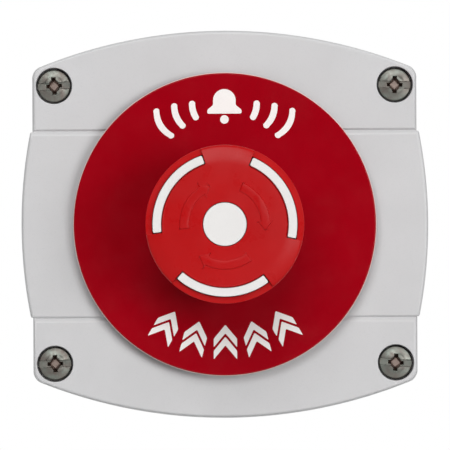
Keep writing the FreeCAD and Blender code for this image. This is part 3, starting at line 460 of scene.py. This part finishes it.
joints = []
for middle in (JOINT_HEIGHT, -JOINT_HEIGHT):
    joint = bmesh.new()
    joint.faces.new([joint.verts.new(at(-JOINT_END, middle + side, depth))
                     for depth, side in JOINT_SECTION])
    joints.append(pull(joint, (2 * JOINT_END, 0, 0)))
front = cut(enclosure_block(FACE, FRONT_DRAFT, RIM_ROUND), hollow_block(PARTING - 1, FACE_BACK), *joints)
front = join(front, rod(0, 0, FACE_BACK - 1, SEAT, SEAT_RADIUS, segments=128))
openings = [hole(across, up, WELL_SEAT, FACE, WELL_RADIUS, 0.25) for across, up in SCREW_PLACES]
openings += [rod(across, up, PARTING - 1, WELL_SEAT + 0.5, CLEARANCE_RADIUS)
             for across, up in SCREW_PLACES]
openings += [rod(0, 0, FACE_BACK - 2, SEAT + 1.5, BORE_RADIUS, segments=96)]
front = cut(front, *openings)
piece("enclosure_front_half", front, "enclosure", enclosure_grey, "front_cover")


# Cover screws. Pan head machine screws of zinc plated steel, that sit just below the face of the cover
# and turn into brass inserts in the rear half. They are headed cold from wire, and the same blow leaves
# the cross recess and the fine slot in each head.

def bar(left, right, low_end, high_end, back, front):
    """A square bar that runs through the front."""
    form = bmesh.new()
    size = Matrix.Diagonal((right - left, front - back, high_end - low_end, 1))
    middle = at((left + right) / 2, (low_end + high_end) / 2, (back + front) / 2)
    bmesh.ops.create_cube(form, size=1, matrix=Matrix.Translation(middle) @ size)
    return form


def tapered_cross(half_length, half_width, back, front, taper):
    """The point of a cross driver, narrower towards its tip."""
    arms = join(bar(-half_length, half_length, -half_width, half_width, back, front),
                bar(-half_width, half_width, -half_length, half_length, back, front))
    tip = [vert for vert in arms.verts if abs(vert.co.y + back) < NEAR]
    bmesh.ops.scale(arms, vec=(taper, 1, taper), verts=tip)
    return arms


def gather(forms):
    """Puts forms that don't touch each other into one."""
    whole = bmesh.new()
    for form in forms:
        mesh = bpy.data.meshes.new("form")
        form.to_mesh(mesh)
        form.free()
        whole.from_mesh(mesh)
        bpy.data.meshes.remove(mesh)
    return whole


def spun(form, degrees):
    """Turns a form about the middle line, clockwise as seen from the front."""
    bmesh.ops.rotate(form, cent=(0, 0, 0), matrix=Matrix.Rotation(math.radians(degrees), 3, "Y"),
                     verts=form.verts)
    return form


def plated_steel(name, colour, tarnished, roughness):
    """Plated steel with fine turning marks, and patches where the plating has tarnished."""
    finish = Finish(name)
    tarnish = finish.ramp(finish.noise(1.8, 4, 0.65), 0.35, 0.7, 0, 1)
    finish.tone = finish.blend(tarnish, colour, tarnished)
    finish.link(finish.tone, finish.shader.inputs["Base Color"])
    finish.shader.inputs["Metallic"].default_value = 1
    finish.link(finish.ramp(finish.noise(0.9, 4, 0.7), 0.3, 0.7, roughness - 0.08, roughness + 0.12),
                finish.shader.inputs["Roughness"])
    scratches = finish.relief(finish.noise(0.5, 3, 0.7, stretch=(0.3, 1, 1.6)), 0.006, 0.5)
    finish.relief(finish.noise(0.12, 2), 0.004, 0.5, under=scratches)
    return finish


cover_screw_steel = plated_steel("cover_screw_steel", srgb(112, 116, 110), srgb(106, 98, 93), 0.36)
# Below the head's top the colour turns dark brown: this is painted shade in the cross recess and on the
# sides of the head down in its well. Deeper than 57 mm it turns pale pink: this is painted light at the
# bottom of the pit, and it also colours the hidden shank.
screw_depth = cover_screw_steel.depth()
below_top = cover_screw_steel.ramp(screw_depth, 57.9, 58.25, 1, 0)
painted_recess_shade = cover_screw_steel.blend(below_top, cover_screw_steel.tone, srgb(82, 68, 58))
in_pit = cover_screw_steel.ramp(screw_depth, 57, 57.9, 1, 0)
cover_screw_steel.link(cover_screw_steel.blend(in_pit, painted_recess_shade, srgb(134, 119, 112)),
                       cover_screw_steel.shader.inputs["Base Color"])

SCREW_CLEAR = 59.5

screw = turned([(0, 58.8), (1.7, 58.8, 3.2, 4), (2.75, 58.5), (3.85, 58.42, 0.45, 5), (4.3, 57.97),
                (4.3, 56.4), (3.9, 56.1), (2, 56.1), (2, 20.6), (1.5, 20.1), (0, 20.1)], steps=72)
cross = tapered_cross(half_length=2.75, half_width=0.62, back=57, front=SCREW_CLEAR, taper=0.45)
pit = rod(0, 0, 56.6, SCREW_CLEAR, 1.2, end_radius=2.35, segments=4)
slot = bar(-5, 5, -0.85, 0.85, 58.3, SCREW_CLEAR)
screw = cut(screw, cross, pit, slot)
screws = []
for (across, up), turn in zip(SCREW_PLACES, (2, -4, 5, -2)):
    driven = spun(screw.copy(), turn)
    bmesh.ops.translate(driven, vec=(across, 0, up), verts=driven.verts)
    screws.append(driven)
screw.free()
piece("cover_screws_plated", gather(screws), "enclosure", cover_screw_steel, "cover_screws",
      edge=0.1)


# Legend disc. A turned laminate with a red face over a pale core, that is clamped between the cover and
# the actuator. The core shows as a thin pale line round the rim. The signs are white inlays: a ringing
# bell above the head, and pairs of chevrons that point at the head from below.

legend_red = moulded_plastic("legend_red", srgb(159, 1, 20), srgb(154, 1, 18), 0.16, 0.5, 0.002)
legend_red.shader.inputs["Specular IOR Level"].default_value = 0.12
legend_core = moulded_plastic("legend_core", srgb(226, 200, 194), srgb(220, 190, 184), 0.5, 0.3, 0.004)
legend_white = moulded_plastic("legend_white", srgb(250, 247, 244), srgb(246, 243, 240), 0.4, 0.3, 0.004)


def slab(corners, back, front):
    """A flat shape through its corners. Two more numbers are an arc's radius and its steps."""
    form = bmesh.new()
    first = form.verts.new(at(corners[0][0], corners[0][1], back))
    corner = first
    for number, spot in enumerate(corners):
        end = corners[(number + 1) % len(corners)]
        if len(spot) > 2:
            corner = bow(form, corner, at(end[0], end[1], back), spot[2], ALONG_WALL, spot[3])
        elif number < len(corners) - 1:
            corner = line(form, corner, at(end[0], end[1], back))
        else:
            form.edges.new((corner, first))
    bmesh.ops.remove_doubles(form, verts=form.verts, dist=ONE_PLACE)
    bmesh.ops.contextual_create(form, geom=form.edges[:])
    return pull(form, (0, back - front, 0))


def round_posts(form, radius, segments):
    """Rounds the corners of a slab, where its edges run from back to front."""
    posts = [edge for edge in form.edges
             if abs(edge.verts[0].co.y - edge.verts[1].co.y) > 0.1 and edge.calc_face_angle() > 0.5]
    return round_edges(form, posts, radius, segments)


def signs(back, front):
    """The forms of all the signs, from one depth to another."""
    bell = slab([(-4.4, 28.4), (-4.4, 29.4), (-2.9, 30.6), (-2.9, 31.8, 2.9, 10), (0, 34.7, 2.9, 10),
                 (2.9, 31.8), (2.9, 30.6), (4.4, 29.4), (4.4, 28.4)], back, front)
    round_posts(bell, 0.35, 3)
    clapper = rod(0, 26.9, back, front, 1.1, segments=32)
    forms = [bell, clapper]
    half_band = 0.825
    half_round = half_band + NEAR
    for side in (1, -1):
        for number in range(3):
            low_end = 28.45 - 0.9 * number
            high_end = 32.05 + 0.9 * number
            wave = slab([(-half_band, low_end, -7 * side, 12), (-half_band, high_end, half_round, 10),
                         (half_band, high_end, 7 * side, 12), (half_band, low_end, half_round, 10)],
                        back, front)
            forms.append(spun(wave, side * (15 + 8 * number)))
    for step in range(-2, 3):
        for tip in (-25.8, -28.9):
            chevron = slab([(0, tip), (3, tip - 3.6), (3, tip - 5.8), (0, tip - 2.2),
                            (-3, tip - 5.8), (-3, tip - 3.6)], back, front)
            round_posts(chevron, 0.3, 3)
            forms.append(spun(chevron, 15 * step))
    return forms


DISC_RADIUS = 38.82
DISC_FRONT = 64.5
INLAY_BACK = 63.9

disc = turned([(DISC_RADIUS, SEAT), (BORE_RADIUS, SEAT), (BORE_RADIUS, DISC_FRONT),
               (38.5, DISC_FRONT, 0.32, 4), (DISC_RADIUS, 64.18)], steps=192)
disc = cut(disc, *signs(INLAY_BACK, 65))
bmesh.ops.holes_fill(disc, edges=[edge for edge in disc.edges if edge.is_boundary], sides=4)
piece("disc_plate", disc, "enclosure", legend_red, "legend_disc")
core = turned([(DISC_RADIUS, SEAT), (DISC_RADIUS, 64.1), (38.84, 64.1, 0.15, 3), (38.99, 63.95),
               (38.99, 62.6), (38.9, SEAT)], steps=192)
piece("disc_core", core, "enclosure", legend_core, None)
piece("disc_signs", gather(signs(INLAY_BACK, 64.58)), "enclosure", legend_white,
      "legend_marks")


# Actuator. The bezel ring is moulded in black nylon and clamps the flange of the barrel over a rubber
# gasket. The barrel runs through the cover, a ring nut holds it from behind, and the holder on its end
# carries the contact blocks. A lip seal keeps water out round the neck of the head.

actuator_black = moulded_plastic("actuator_black", srgb(34, 34, 36), srgb(28, 28, 30), 0.38, 0.2, 0.006)
seal_rubber = moulded_plastic("seal_rubber", srgb(26, 26, 27), srgb(20, 20, 21), 0.72, 0.15, 0.01)
block_grey = moulded_plastic("block_grey", srgb(92, 95, 100), srgb(84, 87, 92), 0.46, 0.2, 0.008)


def dress(finish, *nodes):
    """Gives the CAD nodes a finish."""
    for node in nodes:
        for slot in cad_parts[node].material_slots:
            slot.material = finish.material


bezel = turned([(13.2, 65.5), (14.45, 65.5), (14.75, 65.8), (14.75, 67.0), (14.6, 67.15), (14.6, 67.45),
                (14.75, 67.6), (14.75, 69.2, -1, 6), (13.75, 70.2), (10.7, 70.2), (10.2, 69.7),
                (10.2, 68.2), (13.2, 68.2)], steps=128)
piece("bezel_ring_moulded", bezel, "enclosure", actuator_black, "bezel_ring", edge=0.08)
dress(actuator_black, "actuator_barrel", "ring_nut", "stem")
dress(seal_rubber, "bezel_gasket", "lip_seal", "box_gasket", "cover_screw_seals")
dress(block_grey, "contact_holder", "contact_housing_left", "contact_housing_right",
      "contact_plunger_left", "contact_plunger_right")


# Springs, screws and contacts inside the enclosure. The springs are wound from drawn wire. The screws and
# clamps are zinc plated, and the contact strips, bridges and inserts are brass.

def drawn_metal(name, colour, roughness, grain):
    """Drawn or rolled metal, with a faint streaky tarnish."""
    finish = Finish(name)
    streak = finish.ramp(finish.noise(grain * 6, 3, 0.6, stretch=(1, 0.4, 1)), 0.3, 0.7, 0, 1)
    finish.link(finish.blend(streak, colour, tuple(part * 0.72 for part in colour)),
                finish.shader.inputs["Base Color"])
    finish.shader.inputs["Metallic"].default_value = 1
    finish.link(finish.ramp(finish.noise(grain * 2, 3), 0.3, 0.7, roughness - 0.07, roughness + 0.1),
                finish.shader.inputs["Roughness"])
    finish.relief(finish.noise(grain, 2), 0.003, 0.5)
    return finish


spring_steel = drawn_metal("spring_steel", srgb(172, 172, 172), 0.32, 0.15)
screw_steel = plated_steel("screw_steel", srgb(168, 168, 162), srgb(132, 130, 124), 0.36)
contact_brass = drawn_metal("contact_brass", srgb(205, 170, 100), 0.3, 0.2)
dress(spring_steel, "stem_retaining_ring", "head_retaining_ring")
dress(contact_brass, "contact_terminals_left", "contact_terminals_right", "contact_bridge_left",
      "contact_bridge_right", "screw_inserts")
dress(screw_steel, "holder_screw", "terminal_clamps_left", "terminal_clamps_right",
      "terminal_screws_left", "terminal_screws_right")

for name, node, fixed_end, length in (("return_coil", "return_spring", 50, 14),
                                      ("contact_coil_left", "contact_spring_left", 15, 10),
                                      ("contact_coil_right", "contact_spring_right", 15, 10)):
    coil = bmesh.new()
    coil.from_mesh(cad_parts[node].data)
    bmesh.ops.scale(coil, vec=(1 / MILLIMETRE, 1 / MILLIMETRE, 1 / MILLIMETRE), verts=coil.verts)
    bmesh.ops.remove_doubles(coil, verts=coil.verts, dist=NEAR)
    spring = piece(name, coil, "enclosure", spring_steel, node)
    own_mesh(spring)


# Mushroom head, moulded in satin red plastic in two parts that snap together: a coved flare on the
# pivot of the stem, and a domed cap. Between its three lobes the cap steps down to a ledge, and three
# raised arrows show the way to turn it.

head_red = moulded_plastic("head_red", srgb(186, 8, 12), srgb(180, 6, 10), 0.3, 0.35, 0.004)
head_red.shader.inputs["Specular IOR Level"].default_value = 0.18
head_red.shader.inputs["Subsurface Weight"].default_value = 0.05
head_red.shader.inputs["Subsurface Radius"].default_value = (0.0016, 0.0003, 0.0002)

flare = turned([(5.05, 66.8), (9, 66.8), (9.2, 67), (9.2, 75.2, -0.5, 4), (9.7, 75.7), (12, 75.7, 14, 12),
                (19.4, 80.9), (19.4, 81.7), (18.1, 81.7), (18.1, 84.5), (16.3, 84.5), (16.3, 81.7),
                (10, 77.5), (10, 87.8), (7, 87.8), (7, 85.6), (5.05, 85.6)], steps=160)
piece("head_flare", flare, "head", head_red, "head_skirt", edge=0.12)

HEAD_TURNS = (267.6, 27.6, 147.6)
CAP_BACK = 90
LEDGE = 92.3
LEDGE_HALF_TURN = 40.04
WINDOW_INNER = 15.95
WINDOW_OUTER = 18.35
DOT_WINDOW = 5.6


def polar(radius, degrees):
    """A place on the front by its angle, anticlockwise from the right."""
    return radius * math.cos(math.radians(degrees)), radius * math.sin(math.radians(degrees))


def sector(corners, first, last):
    """A part of a ring from one angle to another. Its section goes through (radius, depth) corners."""
    form = bmesh.new()
    form.faces.new([form.verts.new((radius, -depth, 0)) for radius, depth in corners])
    spun(form, -first)
    bmesh.ops.spin(form, geom=form.verts[:] + form.edges[:] + form.faces[:], cent=(0, 0, 0),
                   axis=(0, -1, 0), angle=math.radians(last - first), steps=round((last - first) / 2))
    bmesh.ops.recalc_face_normals(form, faces=form.faces)
    return form


cap = turned([(18.25, 81.7), (18.9, 81.7, -0.8, 5), (19.7, 82.5), (20, 92.4, -0.8, 6),
              (19.474, 93.152, -15.2, 12), (15.12, 94.045, -250, 8), (DOT_WINDOW, 94.45),
              (DOT_WINDOW, CAP_BACK), (18.25, CAP_BACK)], steps=180)
cap = cut(cap, *[sector([(WINDOW_INNER, CAP_BACK - 1), (WINDOW_OUTER, CAP_BACK - 1), (WINDOW_OUTER, LEDGE),
                         (23, LEDGE), (23, 96), (WINDOW_INNER, 96)],
                        turn - LEDGE_HALF_TURN, turn + LEDGE_HALF_TURN) for turn in HEAD_TURNS])

ARROW_INNER = 9.1
ARROW_OUTER = 11.35
ARROW_FRONT = 94.55
BARB = 0.7

arrows = []
for turn in HEAD_TURNS:
    tail = turn + 38.4
    neck = turn - 23.6
    tip = turn - 36.6
    arrow = slab([polar(ARROW_OUTER, tail) + (ARROW_OUTER, 24), polar(ARROW_OUTER, neck),
                  polar(ARROW_OUTER + BARB, neck), polar((ARROW_INNER + ARROW_OUTER) / 2, tip),
                  polar(ARROW_INNER - BARB, neck), polar(ARROW_INNER, neck) + (-ARROW_INNER, 24),
                  polar(ARROW_INNER, tail)], 93, ARROW_FRONT)
    arrows.append(round_edges(arrow, rim(arrow, ARROW_FRONT), 0.18, 3))
cap = join(cap, *arrows)
piece("head_cap", cap, "head", head_red, "mushroom_cap", edge=0.1)


# Indicator. A white moulding behind the cap: its round middle and its three arcs come through the cap
# with a hairline gap all round, so that the head's turn can be seen from a distance.

indicator_white = moulded_plastic("indicator_white", srgb(233, 231, 229), srgb(229, 227, 225),
                                  0.4, 0.3, 0.004)

DOT_RADIUS = 5.45
ARC_INNER = 16.05
ARC_OUTER = 18.2
ARC_HALF_TURN = 39.2

insert = turned([(0, 94.51), (DOT_RADIUS, 94.453), (DOT_RADIUS, CAP_BACK), (ARC_OUTER, CAP_BACK),
                 (ARC_OUTER, 87.8), (0, 87.8)], steps=128)
arcs = [sector([(ARC_INNER, 89.5), (ARC_OUTER, 89.5), (ARC_OUTER, 93.8), (ARC_INNER, 93.8)],
               turn - ARC_HALF_TURN, turn + ARC_HALF_TURN) for turn in HEAD_TURNS]
insert = join(insert, *[round_posts(arc, 0.35, 4) for arc in arcs])
piece("head_indicator", insert, "head", indicator_white, "indicator_insert", edge=0.12)


# Studio. A pale floor well below the part, two large soft lamps to the right and above, and a surround
# that is white behind and beside the part. The floor throws back less light on it than the camera sees.
# The part hangs in front of nothing, as on a cut-out photograph.

scene = bpy.context.scene
for name in ("Cube", "Light", "Camera"):
    if name in bpy.data.objects:
        bpy.data.objects.remove(bpy.data.objects[name])

FLOOR_HEIGHT = -0.32
PART_MIDDLE = Vector((0, -0.07, 0))

floor_form = bmesh.new()
bmesh.ops.create_grid(floor_form, x_segments=1, y_segments=1, size=4,
                      matrix=Matrix.Translation((0, 0, FLOOR_HEIGHT)))
floor_mesh = bpy.data.meshes.new("floor")
floor_form.to_mesh(floor_mesh)
floor_form.free()
floor = bpy.data.objects.new("floor", floor_mesh)
scene.collection.objects.link(floor)

floor_paint = Finish("floor_paint")
floor_tone = floor_paint.blend(floor_paint.noise(60, 3), srgb(238, 238, 237), srgb(242, 242, 241))
bounced = floor_paint.add("ShaderNodeLightPath").outputs["Is Diffuse Ray"]
floor_paint.link(floor_paint.blend(bounced, floor_tone, srgb(150, 150, 150)),
                 floor_paint.shader.inputs["Base Color"])
floor_paint.shader.inputs["Roughness"].default_value = 0.8
floor_mesh.materials.append(floor_paint.material)


def lamp(name, place, width, height, power):
    """A soft box that points at the part."""
    light = bpy.data.lights.new(name, "AREA")
    light.shape = "RECTANGLE"
    light.size = width
    light.size_y = height
    light.energy = power
    box = bpy.data.objects.new(name, light)
    box.location = place
    box.rotation_euler = (PART_MIDDLE - Vector(place)).to_track_quat("-Z", "Y").to_euler()
    scene.collection.objects.link(box)


lamp("lamp_right", (1.623, -2.838, 0.086), 1.65, 1.48, 52.6)
lamp("lamp_above", (-0.31, -2.838, 1.594), 1.92, 1.71, 51)

# The camera sees the surround as white. Its soft light comes from behind and beside the part, with very
# little from before it, and gloss shows it dimmer.
GLOSS_BEHIND = 0.45
GLOSS_BEFORE = 0.08
SOFT_BEFORE = 0.13

world = bpy.data.worlds.new("studio")
world.use_nodes = True
scene.world = world


def reckon(operation, *inputs):
    """Adds a step of reckoning with its inputs to the surround, and gives back its output."""
    node = world.node_tree.nodes.new("ShaderNodeMath")
    node.operation = operation
    for socket, value in zip(node.inputs, inputs):
        if isinstance(value, float):
            socket.default_value = value
        else:
            world.node_tree.links.new(value, socket)
    return node.outputs[0]


path = world.node_tree.nodes.new("ShaderNodeLightPath").outputs
direction = world.node_tree.nodes.new("ShaderNodeTexCoord").outputs["Generated"]
apart = world.node_tree.nodes.new("ShaderNodeSeparateXYZ")
world.node_tree.links.new(direction, apart.inputs[0])
behind_part = reckon("MULTIPLY_ADD", apart.outputs["Y"], 3.0, 1.4)
behind_part.node.use_clamp = True
seen = reckon("MAXIMUM", path["Is Camera Ray"], path["Is Transmission Ray"])
soft = reckon("SUBTRACT", 1.0, path["Is Glossy Ray"])
backdrop = reckon("MULTIPLY_ADD", soft, 1 - GLOSS_BEHIND, GLOSS_BEHIND)
behind = reckon("MULTIPLY", backdrop, behind_part)
white = reckon("MAXIMUM", seen, behind)
room = reckon("MULTIPLY_ADD", soft, SOFT_BEFORE - GLOSS_BEFORE, GLOSS_BEFORE)
level = reckon("MAXIMUM", white, room)
world.node_tree.links.new(level, world.node_tree.nodes["Background"].inputs["Strength"])
world.node_tree.nodes["Background"].inputs["Color"].default_value = (1, 1, 1, 1)

# The camera stands about 1.4 m before the part, and is tipped sideways as much as the photograph is.
lens = bpy.data.cameras.new("camera")
lens.sensor_width = 36
lens.lens = 439.4
camera = bpy.data.objects.new("camera", lens)
camera.location = (0.00003, -1.4746, -0.0002)
camera.rotation_euler = (math.pi / 2, math.radians(0.25), 0)
scene.collection.objects.link(camera)
scene.camera = camera
scene.view_settings.view_transform = "Standard"
